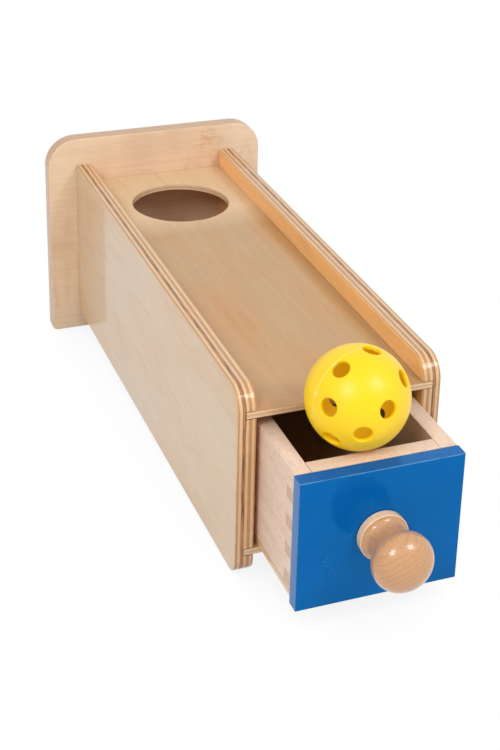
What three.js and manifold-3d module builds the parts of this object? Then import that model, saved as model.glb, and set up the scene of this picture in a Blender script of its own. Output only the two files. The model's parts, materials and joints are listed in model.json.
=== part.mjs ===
// A toddler's ball-drop box: a plywood carcass with a hole in its sunken top, a finger-jointed beech drawer
// with a blue front and a turned knob, and the perforated ball that waits on the half-open drawer.
//
// Millimetres, +Z up. In the box's own frame X runs to the right, Y from the front edges of the sides to the
// back plate, and Z up from the lower edges of the sides. The back plate reaches below the sides, so the box
// stands with its back raised, and the ball rolls to the front of the drawer.
import * as THREE from 'three';
import { mergeVertices } from 'three/addons/utils/BufferGeometryUtils.js';
import Module from 'manifold-3d';

const wasm = await Module();
wasm.setup();

// Carcass
const PLY = 9;
const SIDE_LENGTH = 275;
const SIDE_HEIGHT = 93.4;
const INNER_WIDTH = 78;
const FRONT_TOP_RADIUS = 11;
const FRONT_BOTTOM_RADIUS = 8;
const PLATE_SIDE_MARGIN = 16.5;
const PLATE_ABOVE = 16;
const PLATE_BELOW = 11.1;
const PLATE_TOP_RADIUS = 17;
const PLATE_FOOT_RADIUS = 3;
const PANEL = 3.5;
const TOP_PANEL_RECESS = 10;
const BOTTOM_PANEL_HEIGHT = 10.5;
const GROOVE_DEPTH = 5;
const BALL_HOLE_DIAMETER = 54;
const BALL_HOLE_FROM_PLATE = 47.5;

// Dowels between the sides and the back plate
const DOWEL_DIAMETER = 5;
const DOWEL_IN_SIDE = 18;
const DOWEL_IN_PLATE = 5.5;
const DOWEL_CHAMFER = 0.6;
const DOWEL_FROM_EDGE = 24;

// Drawer
const DRAWER_SIDE_PLAY = 2.2;
const DRAWER_RUNNING_CLEARANCE = 0.3;
const DRAWER_WALL = 7.5;
const DRAWER_HEADROOM = 5.6;
const DRAWER_BOTTOM = 3;
const DRAWER_OPEN = 37.8;
const FINGERS = 4;
const FINGER_SHARE = 0.4;
const LAND_BELOW_FINGERS = 1.2;
const LAND_ABOVE_FINGERS = 9.2;
const REAR_WALL_UNDER_RIM = 4;
const FRONT_PANEL = 7;
const FRONT_PANEL_OVERHANG = 0.5;
const FRONT_PANEL_LIP = 2.35;
const FRONT_PANEL_EASE = 0.3;

// Knob and screws
const KNOB_FLANGE_DIAMETER = 22.2;
const KNOB_FLANGE = 3.4;
const KNOB_FLANGE_ROUND = 0.5;
const KNOB_NECK_DIAMETER = 16;
const KNOB_HEAD_DIAMETER = 26.6;
const KNOB_HEAD_HALF_LENGTH = 10.2;
const KNOB_HEAD_CENTRE = 20.8;
const KNOB_HEAD_END_ANGLE = THREE.MathUtils.degToRad(42);
const KNOB_SCREW_DIAMETER = 4;
const KNOB_SCREW_IN_KNOB = 12;
const KNOB_SCREW_HEAD = 8;
const FRONT_SCREW_DIAMETER = 3.2;
const FRONT_SCREW_IN_PANEL = 4.5;
const FRONT_SCREW_HEAD = 6.4;
const FRONT_SCREW_FROM_KNOB = 19;
// Parts of a pan-head screw, as shares of its head's diameter or radius and of its shank
const HEAD_HEIGHT_SHARE = 0.32;
const HEAD_CROWN_SHARE = 0.4;
const TIP_LENGTH_SHARE = 0.6;
const TIP_RADIUS_SHARE = 0.4;
const RECESS_LENGTH_SHARE = 0.55;
const RECESS_WIDTH_SHARE = 0.14;
const RECESS_FLOOR_SHARE = 0.45;

// Ball
const BALL_DIAMETER = 45;
const BALL_WALL = 1.6;
const PERFORATION_DIAMETER = 7.8;
const BALL_OFF_CENTRE = -2;
// Directions of the perforations from the ball's centre: seven face the camera, two are seen through those,
// and the rest are spread over the hidden side.
const PERFORATIONS = [
  [-0.5, -0.26, 0.82],
  [0.23, -0.02, 0.97],
  [0.7, -0.48, 0.53],
  [-0.83, -0.52, 0.21],
  [0.18, -0.96, 0.22],
  [-0.29, -0.93, -0.23],
  [-0.72, -0.47, -0.51],
  [-0.06, 0.87, -0.49],
  [0.61, 0.31, -0.73],
  [-0.23, 0.02, -0.97],
  [-0.7, 0.48, -0.53],
  [0.88, 0.4, -0.26],
  [0.4, 0.87, 0.31],
  [0.83, 0.48, 0.31],
];

// Shared clearances and edges
const GLUE_GAP = 0.2;
const REST_GAP = 0.3;
const EDGE_EASE = 0.8;
const THIN_EDGE_EASE = 0.4;
const CUT_OVERRUN = 1;

const outerWidth = INNER_WIDTH + 2 * PLY;
const plateWidth = outerWidth + 2 * PLATE_SIDE_MARGIN;
const plateHeight = PLATE_BELOW + SIDE_HEIGHT + PLATE_ABOVE;
const topPanelTop = SIDE_HEIGHT - TOP_PANEL_RECESS;
const bottomPanelTop = BOTTOM_PANEL_HEIGHT + PANEL;
const panelWidth = INNER_WIDTH + 2 * (GROOVE_DEPTH - GLUE_GAP);
const ballHoleY = SIDE_LENGTH - BALL_HOLE_FROM_PLATE;

const drawerWidth = INNER_WIDTH - 2 * DRAWER_SIDE_PLAY;
const drawerInnerWidth = drawerWidth - 2 * DRAWER_WALL;
// The shut drawer's rear wall stands just under the far rim of the hole, so that the ball lands in
// the drawer.
const drawerLength = ballHoleY + BALL_HOLE_DIAMETER / 2 - REAR_WALL_UNDER_RIM + DRAWER_WALL;
const drawerFoot = bottomPanelTop + DRAWER_RUNNING_CLEARANCE;
const wallFoot = drawerFoot + DRAWER_BOTTOM + GLUE_GAP;
const wallTop = topPanelTop - PANEL - DRAWER_HEADROOM;
const wallHeight = wallTop - wallFoot;
const frontPanelFoot = drawerFoot - FRONT_PANEL_LIP;
const frontPanelHeight = wallTop - frontPanelFoot;
const frontPanelWidth = drawerWidth + 2 * FRONT_PANEL_OVERHANG;
const knobHeight = frontPanelFoot + frontPanelHeight / 2;

// Which way an outline's x, its y and its thickness run in the box's frame
const FACING_SIDE = new THREE.Matrix4().makeBasis(
  new THREE.Vector3(0, 1, 0), new THREE.Vector3(0, 0, 1), new THREE.Vector3(1, 0, 0));
const FACING_FRONT = new THREE.Matrix4().makeBasis(
  new THREE.Vector3(1, 0, 0), new THREE.Vector3(0, 0, 1), new THREE.Vector3(0, -1, 0));
const FACING_UP = new THREE.Matrix4();

const birch = new THREE.MeshStandardMaterial({ color: '#dcc4a4', roughness: 0.45, metalness: 0 });
const thinBirch = new THREE.MeshStandardMaterial({ color: '#d3b084', roughness: 0.45, metalness: 0 });
const beech = new THREE.MeshStandardMaterial({ color: '#d6b093', roughness: 0.5, metalness: 0 });
const turnedBeech = new THREE.MeshStandardMaterial({ color: '#dbb07e', roughness: 0.25, metalness: 0 });
const blueLacquer = new THREE.MeshStandardMaterial({ color: '#0068af', roughness: 0.15, metalness: 0 });
const zincSteel = new THREE.MeshStandardMaterial({ color: '#b9bcc0', roughness: 0.35, metalness: 1 });
const yellowPlastic = new THREE.MeshStandardMaterial({ color: '#ffd800', roughness: 0.3, metalness: 0 });

/** A closed geometry as a solid that can be joined and cut. */
function solid(geometry) {
  const bare = geometry.index ? geometry.toNonIndexed() : geometry.clone();
  bare.deleteAttribute('normal');
  bare.deleteAttribute('uv');
  const merged = mergeVertices(bare, 1e-4);
  return new wasm.Manifold(new wasm.Mesh({
    numProp: 3,
    vertProperties: new Float32Array(merged.attributes.position.array),
    triVerts: new Uint32Array(merged.index.array),
  }));
}

/** A named mesh from a solid. */
function piece(name, body, material) {
  const { vertProperties, triVerts } = body.getMesh();
  const geometry = new THREE.BufferGeometry();
  geometry.setAttribute('position', new THREE.BufferAttribute(new Float32Array(vertProperties), 3));
  geometry.setIndex(new THREE.BufferAttribute(new Uint32Array(triVerts), 1));
  geometry.computeVertexNormals();
  const mesh = new THREE.Mesh(geometry, material);
  mesh.name = name;
  return mesh;
}

/** A board of one thickness, sawn to an outline, its edges eased, its lower face in the plane at zero. */
function board(outline, thickness, facing, ease, curveSegments = 10) {
  const geometry = new THREE.ExtrudeGeometry(outline, {
    depth: thickness - 2 * ease,
    bevelEnabled: ease > 0,
    bevelThickness: ease,
    bevelSize: ease,
    bevelOffset: -ease,
    bevelSegments: 2,
    curveSegments,
  });
  geometry.translate(0, 0, ease);
  return solid(geometry.applyMatrix4(facing));
}

/** A rectangle between two corners, with a radius at each corner, lower left first, anticlockwise. */
function roundedRectangle(left, low, right, high, radii) {
  const corners = [
    [left, low, Math.PI],
    [right, low, 1.5 * Math.PI],
    [right, high, 0],
    [left, high, 0.5 * Math.PI],
  ];
  const outline = new THREE.Shape();
  corners.forEach(([x, y, startAngle], index) => {
    const radius = radii[index];
    if (radius === 0) {
      outline[index === 0 ? 'moveTo' : 'lineTo'](x, y);
      return;
    }
    const centreX = x === left ? left + radius : right - radius;
    const centreY = y === low ? low + radius : high - radius;
    outline.absarc(centreX, centreY, radius, startAngle, startAngle + Math.PI / 2, false);
  });
  outline.closePath();
  return outline;
}

/** A plain block between two corners, for cutting. */
function block(low, high) {
  const size = new THREE.Vector3().subVectors(high, low);
  const geometry = new THREE.BoxGeometry(size.x, size.y, size.z);
  geometry.translate((low.x + high.x) / 2, (low.y + high.y) / 2, (low.z + high.z) / 2);
  return solid(geometry);
}

/** A turned piece: its profile of radius and place along Y runs towards +Y and both ends lie on the axis. */
function turned(profile, segments) {
  return solid(new THREE.LatheGeometry(profile, segments));
}

/** A straight bore along Y, for cutting. */
function bore(x, fromY, toY, z, diameter) {
  const drill = new THREE.CylinderGeometry(diameter / 2, diameter / 2, toY - fromY, 24);
  drill.translate(x, (fromY + toY) / 2, z);
  return solid(drill);
}

/** A side of the carcass, its lower face at the given x, with a groove for each panel on its inner face. */
function side(name, outerFaceX, innerFaceX) {
  const outline = roundedRectangle(
    0, 0, SIDE_LENGTH, SIDE_HEIGHT, [FRONT_BOTTOM_RADIUS, 0, 0, FRONT_TOP_RADIUS]);
  const lowerFaceX = Math.min(outerFaceX, innerFaceX);
  let body = board(outline, PLY, FACING_SIDE, EDGE_EASE).translate([lowerFaceX, 0, 0]);
  const intoWood = Math.sign(outerFaceX - innerFaceX);
  const grooveEnds = [innerFaceX + intoWood * GROOVE_DEPTH, innerFaceX - intoWood * CUT_OVERRUN];
  for (const panelFoot of [topPanelTop - PANEL, BOTTOM_PANEL_HEIGHT]) {
    body = body.subtract(block(
      new THREE.Vector3(Math.min(...grooveEnds), -CUT_OVERRUN, panelFoot - GLUE_GAP),
      new THREE.Vector3(Math.max(...grooveEnds), SIDE_LENGTH + CUT_OVERRUN, panelFoot + PANEL + GLUE_GAP)));
  }
  const middleX = (outerFaceX + innerFaceX) / 2;
  const boreDiameter = DOWEL_DIAMETER + 2 * GLUE_GAP;
  const boreStart = SIDE_LENGTH - DOWEL_IN_SIDE - GLUE_GAP;
  for (const z of dowelHeights) {
    body = body.subtract(bore(middleX, boreStart, SIDE_LENGTH + CUT_OVERRUN, z, boreDiameter));
  }
  return piece(name, body, birch);
}

/** The plate that closes the back, larger than the box all round, with a blind bore for each dowel. */
function backPlate() {
  const outline = roundedRectangle(
    -plateWidth / 2, -PLATE_BELOW, plateWidth / 2, plateHeight - PLATE_BELOW,
    [PLATE_FOOT_RADIUS, PLATE_FOOT_RADIUS, PLATE_TOP_RADIUS, PLATE_TOP_RADIUS]);
  const plateFront = SIDE_LENGTH + GLUE_GAP;
  let body = board(outline, PLY, FACING_FRONT, EDGE_EASE).translate([0, plateFront + PLY, 0]);
  const boreEnd = plateFront + DOWEL_IN_PLATE + GLUE_GAP;
  for (const x of dowelPlaces) {
    for (const z of dowelHeights) {
      body = body.subtract(bore(x, plateFront - CUT_OVERRUN, boreEnd, z, DOWEL_DIAMETER + 2 * GLUE_GAP));
    }
  }
  return piece('back_plate', body, birch);
}

/** A thin panel whose long edges sit in the grooves of the sides. */
function panel(name, foot, holes) {
  const outline = roundedRectangle(-panelWidth / 2, 0, panelWidth / 2, SIDE_LENGTH, [0, 0, 0, 0]);
  outline.holes.push(...holes);
  const body = board(outline, PANEL, FACING_UP, THIN_EDGE_EASE, 64).translate([0, 0, foot]);
  return piece(name, body, thinBirch);
}

/** The round hole that the ball drops through. */
function ballHole() {
  return new THREE.Path().absarc(0, ballHoleY, BALL_HOLE_DIAMETER / 2, 0, 2 * Math.PI, true);
}

/** A chamfered dowel that bridges the joint between a side and the back plate. */
function dowel(name, x, z) {
  const radius = DOWEL_DIAMETER / 2;
  const start = SIDE_LENGTH - DOWEL_IN_SIDE;
  const end = SIDE_LENGTH + GLUE_GAP + DOWEL_IN_PLATE;
  const profile = [
    new THREE.Vector2(0, start),
    new THREE.Vector2(radius - DOWEL_CHAMFER, start),
    new THREE.Vector2(radius, start + DOWEL_CHAMFER),
    new THREE.Vector2(radius, end - DOWEL_CHAMFER),
    new THREE.Vector2(radius - DOWEL_CHAMFER, end),
    new THREE.Vector2(0, end),
  ];
  return piece(name, turned(profile, 20).translate([x, 0, z]), beech);
}

/** Where the fingers of the front and rear walls lie, as heights above the foot of the walls. */
function fingerSpans() {
  const pitch = (wallHeight - LAND_BELOW_FINGERS - LAND_ABOVE_FINGERS) / (FINGERS - 1 + FINGER_SHARE);
  return Array.from({ length: FINGERS }, (_, index) => {
    const low = LAND_BELOW_FINGERS + index * pitch;
    return [low, low + FINGER_SHARE * pitch];
  });
}

/** One end of a board from its foot up: a step outwards makes fingers, a step inwards makes sockets. */
function combEnd(edge, step, clearance) {
  const points = [new THREE.Vector2(edge, 0)];
  for (const [low, high] of fingerSpans()) {
    points.push(
      new THREE.Vector2(edge, low - clearance),
      new THREE.Vector2(edge + step, low - clearance),
      new THREE.Vector2(edge + step, high + clearance),
      new THREE.Vector2(edge, high + clearance));
  }
  points.push(new THREE.Vector2(edge, wallHeight));
  return points;
}

/** The outline of a board with a comb at both ends. */
function combOutline(start, end, step, clearance) {
  return new THREE.Shape([...combEnd(end, step, clearance), ...combEnd(start, -step, clearance).reverse()]);
}

/** A long wall of the drawer, with sockets for the fingers at both ends. */
function drawerSideWall(name, lowerFaceX) {
  const outline = combOutline(0, drawerLength, -(DRAWER_WALL + GLUE_GAP), GLUE_GAP);
  const body = board(outline, DRAWER_WALL, FACING_SIDE, 0).translate([lowerFaceX, 0, wallFoot]);
  return piece(name, body, beech);
}

/** The front or the rear wall of the drawer, with fingers that reach through the long walls. */
function drawerEndWall(name, frontFaceY, drillings) {
  const shoulder = drawerInnerWidth / 2 - GLUE_GAP;
  const outline = combOutline(-shoulder, shoulder, drawerWidth / 2 - shoulder, 0);
  const rearFaceY = frontFaceY + DRAWER_WALL;
  let body = board(outline, DRAWER_WALL, FACING_FRONT, 0).translate([0, rearFaceY, wallFoot]);
  for (const { x, diameter } of drillings) {
    const clearBore = diameter + 2 * GLUE_GAP;
    body = body.subtract(bore(x, frontFaceY - CUT_OVERRUN, rearFaceY + CUT_OVERRUN, knobHeight, clearBore));
  }
  return piece(name, body, beech);
}

/** The thin bottom, glued under the walls of the drawer. */
function drawerBottom() {
  const outline = roundedRectangle(-drawerWidth / 2, 0, drawerWidth / 2, drawerLength, [0, 0, 0, 0]);
  const body = board(outline, DRAWER_BOTTOM, FACING_UP, 0).translate([0, 0, drawerFoot]);
  return piece('drawer_bottom', body, thinBirch);
}

/** The blue front: its lip reaches below the drawer and stops it on the edge of the bottom panel. */
function drawerFrontPanel() {
  const halfWidth = frontPanelWidth / 2;
  const outline = roundedRectangle(-halfWidth, 0, halfWidth, frontPanelHeight, [0, 0, 0, 0]);
  const rearFace = -GLUE_GAP;
  const frontFace = rearFace - FRONT_PANEL;
  let body = board(outline, FRONT_PANEL, FACING_FRONT, FRONT_PANEL_EASE);
  body = body.translate([0, rearFace, frontPanelFoot]);
  const knobBore = KNOB_SCREW_DIAMETER + 2 * GLUE_GAP;
  body = body.subtract(bore(0, frontFace - CUT_OVERRUN, rearFace + CUT_OVERRUN, knobHeight, knobBore));
  const screwBore = FRONT_SCREW_DIAMETER + 2 * GLUE_GAP;
  const blindEnd = rearFace - FRONT_SCREW_IN_PANEL - GLUE_GAP;
  for (const x of [-FRONT_SCREW_FROM_KNOB, FRONT_SCREW_FROM_KNOB]) {
    body = body.subtract(bore(x, blindEnd, rearFace + CUT_OVERRUN, knobHeight, screwBore));
  }
  return piece('drawer_front_panel', body, blueLacquer);
}

/** The turned knob: a ball-like head, a coved neck and a flange, bored from behind for its screw. */
function knob() {
  const profile = new THREE.Path();
  profile.moveTo(0, -KNOB_HEAD_CENTRE - KNOB_HEAD_HALF_LENGTH);
  const headRadius = KNOB_HEAD_DIAMETER / 2;
  profile.absellipse(
    0, -KNOB_HEAD_CENTRE, headRadius, KNOB_HEAD_HALF_LENGTH, -Math.PI / 2, KNOB_HEAD_END_ANGLE, false);
  const throat = KNOB_NECK_DIAMETER / 2 - KNOB_FLANGE_ROUND;
  const flangeRadius = KNOB_FLANGE_DIAMETER / 2;
  const flangeEdge = flangeRadius - KNOB_FLANGE_ROUND;
  const headEnd = -KNOB_HEAD_CENTRE + KNOB_HEAD_HALF_LENGTH * Math.sin(KNOB_HEAD_END_ANGLE);
  const pull = (-KNOB_FLANGE - headEnd) / 4;
  profile.bezierCurveTo(throat, headEnd + pull, throat, -KNOB_FLANGE - pull, flangeEdge, -KNOB_FLANGE);
  profile.absarc(flangeEdge, -KNOB_FLANGE + KNOB_FLANGE_ROUND, KNOB_FLANGE_ROUND, -Math.PI / 2, 0, false);
  profile.lineTo(flangeRadius, -KNOB_FLANGE_ROUND / 2);
  profile.lineTo(flangeRadius - KNOB_FLANGE_ROUND / 2, 0);
  const boreRadius = KNOB_SCREW_DIAMETER / 2 + GLUE_GAP;
  profile.lineTo(boreRadius, 0);
  profile.lineTo(boreRadius, -KNOB_SCREW_IN_KNOB - GLUE_GAP);
  profile.lineTo(0, -KNOB_SCREW_IN_KNOB - GLUE_GAP);
  const seat = -GLUE_GAP - FRONT_PANEL - GLUE_GAP;
  return piece('knob', turned(profile.getPoints(7), 36).translate([0, seat, knobHeight]), turnedBeech);
}

/** A pan-head screw with a cross recess, driven from inside the drawer towards the front. */
function screw(name, x, diameter, headDiameter, length) {
  const radius = diameter / 2;
  const headRadius = headDiameter / 2;
  const headHeight = headDiameter * HEAD_HEIGHT_SHARE;
  const tip = diameter * TIP_LENGTH_SHARE;
  const profile = new THREE.Path();
  profile.moveTo(0, -length);
  profile.lineTo(radius * TIP_RADIUS_SHARE, -length);
  profile.lineTo(radius, -length + tip);
  profile.lineTo(radius, 0);
  profile.lineTo(headRadius, 0);
  profile.quadraticCurveTo(headRadius, headHeight, headRadius * HEAD_CROWN_SHARE, headHeight);
  profile.lineTo(0, headHeight);
  let body = turned(profile.getPoints(5), 20);
  const armLength = headRadius * RECESS_LENGTH_SHARE;
  const armWidth = headRadius * RECESS_WIDTH_SHARE;
  const recessFloor = headHeight * RECESS_FLOOR_SHARE;
  const recessTop = headHeight + CUT_OVERRUN;
  const across = block(
    new THREE.Vector3(-armLength, recessFloor, -armWidth),
    new THREE.Vector3(armLength, recessTop, armWidth));
  const upright = block(
    new THREE.Vector3(-armWidth, recessFloor, -armLength),
    new THREE.Vector3(armWidth, recessTop, armLength));
  body = body.subtract(across.add(upright));
  return piece(name, body.translate([x, DRAWER_WALL + GLUE_GAP, knobHeight]), zincSteel);
}

/** The hollow ball: a thin shell, pierced all over. */
function perforatedBall() {
  const radius = BALL_DIAMETER / 2;
  let body = solid(new THREE.IcosahedronGeometry(radius, 8));
  body = body.subtract(solid(new THREE.IcosahedronGeometry(radius - BALL_WALL, 4)));
  const drillRadius = PERFORATION_DIAMETER / 2;
  const drillLength = radius / 2 + CUT_OVERRUN;
  for (const direction of PERFORATIONS) {
    const axis = new THREE.Vector3(...direction).normalize();
    const drill = new THREE.CylinderGeometry(drillRadius, drillRadius, drillLength, 16);
    drill.translate(0, radius + CUT_OVERRUN - drillLength / 2, 0);
    drill.applyQuaternion(new THREE.Quaternion().setFromUnitVectors(new THREE.Vector3(0, 1, 0), axis));
    body = body.subtract(solid(drill));
  }
  return piece('ball', body, yellowPlastic);
}

/** The ball's centre: it lies between the drawer's front wall and the front edge of the top panel. */
function ballRest() {
  const wallEdge = new THREE.Vector2(-DRAWER_OPEN + DRAWER_WALL, wallTop);
  const panelEdge = new THREE.Vector2(0, topPanelTop);
  const reach = BALL_DIAMETER / 2 + REST_GAP;
  const across = new THREE.Vector2().subVectors(panelEdge, wallEdge);
  const halfGap = across.length() / 2;
  const upright = new THREE.Vector2(-across.y, across.x).normalize();
  const rise = Math.sqrt(Math.max(reach ** 2 - halfGap ** 2, 0));
  const centre = wallEdge.clone().lerp(panelEdge, 0.5).addScaledVector(upright, rise);
  return new THREE.Vector3(BALL_OFF_CENTRE, centre.x, centre.y);
}

/** The slope at which the box stands on the plate's lower edge and the rounded front corners of its sides. */
function standingSlope() {
  const run = SIDE_LENGTH + GLUE_GAP + EDGE_EASE - FRONT_BOTTOM_RADIUS;
  const drop = PLATE_BELOW + FRONT_BOTTOM_RADIUS;
  return Math.atan2(drop, run) - Math.asin(FRONT_BOTTOM_RADIUS / Math.hypot(run, drop));
}

const sideCentreX = (INNER_WIDTH + PLY) / 2;
const dowelPlaces = [-sideCentreX, sideCentreX];
const dowelHeights = [DOWEL_FROM_EDGE, SIDE_HEIGHT - DOWEL_FROM_EDGE];

const box = new THREE.Group();
box.add(
  side('left_side', -outerWidth / 2, -INNER_WIDTH / 2),
  side('right_side', outerWidth / 2, INNER_WIDTH / 2),
  backPlate(),
  panel('top_panel', topPanelTop - PANEL, [ballHole()]),
  panel('bottom_panel', BOTTOM_PANEL_HEIGHT, []),
  dowel('dowel_left_lower', dowelPlaces[0], dowelHeights[0]),
  dowel('dowel_left_upper', dowelPlaces[0], dowelHeights[1]),
  dowel('dowel_right_lower', dowelPlaces[1], dowelHeights[0]),
  dowel('dowel_right_upper', dowelPlaces[1], dowelHeights[1]),
);

const drillings = [
  { x: 0, diameter: KNOB_SCREW_DIAMETER },
  { x: -FRONT_SCREW_FROM_KNOB, diameter: FRONT_SCREW_DIAMETER },
  { x: FRONT_SCREW_FROM_KNOB, diameter: FRONT_SCREW_DIAMETER },
];
const screwLength = DRAWER_WALL + 2 * GLUE_GAP + FRONT_SCREW_IN_PANEL;
const knobScrewLength = DRAWER_WALL + 3 * GLUE_GAP + FRONT_PANEL + KNOB_SCREW_IN_KNOB;
const drawer = new THREE.Group();
drawer.add(
  drawerSideWall('drawer_left_wall', -drawerWidth / 2),
  drawerSideWall('drawer_right_wall', drawerWidth / 2 - DRAWER_WALL),
  drawerEndWall('drawer_front_wall', 0, drillings),
  drawerEndWall('drawer_rear_wall', drawerLength - DRAWER_WALL, []),
  drawerBottom(),
  drawerFrontPanel(),
  knob(),
  screw('knob_screw', 0, KNOB_SCREW_DIAMETER, KNOB_SCREW_HEAD, knobScrewLength),
  screw('front_screw_left', -FRONT_SCREW_FROM_KNOB, FRONT_SCREW_DIAMETER, FRONT_SCREW_HEAD, screwLength),
  screw('front_screw_right', FRONT_SCREW_FROM_KNOB, FRONT_SCREW_DIAMETER, FRONT_SCREW_HEAD, screwLength),
);
drawer.position.y = -DRAWER_OPEN;
box.add(drawer);

const ball = perforatedBall();
ball.position.copy(ballRest());
box.add(ball);

// The box stands on its slope, with the middle of its footprint at the origin.
box.rotation.x = standingSlope();
box.updateMatrixWorld(true);
const extent = new THREE.Box3().setFromObject(box, true);
const middle = extent.getCenter(new THREE.Vector3());
box.position.set(-middle.x, -middle.y, -extent.min.z);

const toy = new THREE.Group();
toy.add(box);

export default toy;
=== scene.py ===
"""Dresses a wooden ball-drop box: plywood, a beech drawer, a blue front, a turned knob and a ball."""

import json
import math

import bmesh
import bpy
from bpy.props import FloatProperty, FloatVectorProperty, IntProperty, PointerProperty
from bpy.types import Operator, Panel, PropertyGroup
from mathutils import Matrix, Vector


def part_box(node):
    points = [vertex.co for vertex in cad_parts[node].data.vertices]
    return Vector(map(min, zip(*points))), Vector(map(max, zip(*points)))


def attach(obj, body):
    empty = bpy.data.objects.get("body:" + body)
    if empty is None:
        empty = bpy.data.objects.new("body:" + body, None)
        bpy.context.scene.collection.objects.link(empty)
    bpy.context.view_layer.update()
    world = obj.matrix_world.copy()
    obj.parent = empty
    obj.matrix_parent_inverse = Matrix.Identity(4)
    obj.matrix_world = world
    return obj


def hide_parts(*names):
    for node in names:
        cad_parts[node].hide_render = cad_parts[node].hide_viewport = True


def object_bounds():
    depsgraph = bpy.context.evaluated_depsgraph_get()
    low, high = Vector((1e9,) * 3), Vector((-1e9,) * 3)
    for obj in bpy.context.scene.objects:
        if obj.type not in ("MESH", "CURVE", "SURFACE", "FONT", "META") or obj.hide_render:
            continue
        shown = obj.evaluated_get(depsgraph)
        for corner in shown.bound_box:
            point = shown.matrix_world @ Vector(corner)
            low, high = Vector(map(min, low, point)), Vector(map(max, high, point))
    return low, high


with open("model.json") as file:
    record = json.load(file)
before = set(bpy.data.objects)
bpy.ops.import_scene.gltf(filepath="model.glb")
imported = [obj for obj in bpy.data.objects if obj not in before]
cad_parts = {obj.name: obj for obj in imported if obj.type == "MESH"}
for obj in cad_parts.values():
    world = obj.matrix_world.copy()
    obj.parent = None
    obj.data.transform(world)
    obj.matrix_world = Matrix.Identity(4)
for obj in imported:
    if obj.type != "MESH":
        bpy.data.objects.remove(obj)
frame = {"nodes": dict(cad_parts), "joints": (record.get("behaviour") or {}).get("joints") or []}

bl_info = {
    "name": "Ball-drop drawer box",
    "version": (1, 0, 0),
    "blender": (4, 5, 0),
    "location": "View3D > Sidebar > Drawer box",
    "description": "Finishes a toddler's plywood drawer box, its drawer and ball, and sets a plain studio",
    "category": "Object",
}

MM = 0.001
CAD_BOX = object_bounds()
NODES = frame["nodes"]
JOINTS = {joint["name"]: joint for joint in frame["joints"]}

# The box slopes down to its front. Its drawer slides along that slope, so the joint's axis tells the angle.
DRAWER_AXIS = Vector(JOINTS["drawer_slide"]["axis"])
SLOPE = math.atan2(-DRAWER_AXIS.z, -DRAWER_AXIS.y)
TO_SLOPE = Matrix.Rotation(SLOPE, 3, "X")
TO_LEVEL = TO_SLOPE.transposed()

# Corners closer than the weld are one. Edges that turn further than the crisp angle stay crisp, and those
# that turn further than the sanded angle can be sanded.
WELD = 0.002 * MM
CRISP_ANGLE = math.radians(36)
SANDED_ANGLE = math.radians(50)

# Directions of the ball's holes from its centre, in the box's level directions.
PERFORATIONS = (
    (-0.5, -0.26, 0.82),
    (0.23, -0.02, 0.97),
    (0.7, -0.48, 0.53),
    (-0.83, -0.52, 0.21),
    (0.18, -0.96, 0.22),
    (-0.29, -0.93, -0.23),
    (-0.72, -0.47, -0.51),
    (-0.06, 0.87, -0.49),
    (0.61, 0.31, -0.73),
    (-0.23, 0.02, -0.97),
    (-0.7, 0.48, -0.53),
    (0.88, 0.4, -0.26),
    (0.4, 0.87, 0.31),
    (0.83, 0.48, 0.31),
)
# The pole of the ball's weld line, and where the moulding gate lies on that line.
SEAM_POLE = Vector((-0.182, 0.983, -0.026)).normalized()
GATE = Vector((-0.93, -0.17, 0.325)).normalized()


def linear(hex_colour):
    """An sRGB hex colour as linear red, green and blue."""
    channels = [int(hex_colour[i:i + 2], 16) / 255 for i in (1, 3, 5)]
    return tuple(c / 12.92 if c <= 0.04045 else ((c + 0.055) / 1.055) ** 2.4 for c in channels)


def rgba(colour):
    """A colour with full alpha, as shader sockets take it."""
    return (*colour[:3], 1.0)


def levelled_extent(node):
    """A node's lowest and highest corners in millimetres, in the box's own level directions."""
    points = [TO_LEVEL @ vertex.co / MM for vertex in NODES[node].data.vertices]
    return [[pick(p[axis] for p in points) for axis in range(3)] for pick in (min, max)]


def knob_seat():
    """Where the knob's axis meets the blue front, in level millimetres."""
    low, high = levelled_extent("knob")
    return Vector(((low[0] + high[0]) / 2, high[1], (low[2] + high[2]) / 2))


def colour_property(name, description, hex_colour):
    """A colour that a user may change."""
    return FloatVectorProperty(
        name=name, description=description, subtype="COLOR", size=3, min=0, max=1, default=linear(hex_colour))


def length_property(name, description, millimetres):
    """A length that a user may change."""
    return FloatProperty(name=name, description=description, unit="LENGTH", min=0, default=millimetres * MM)


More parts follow.
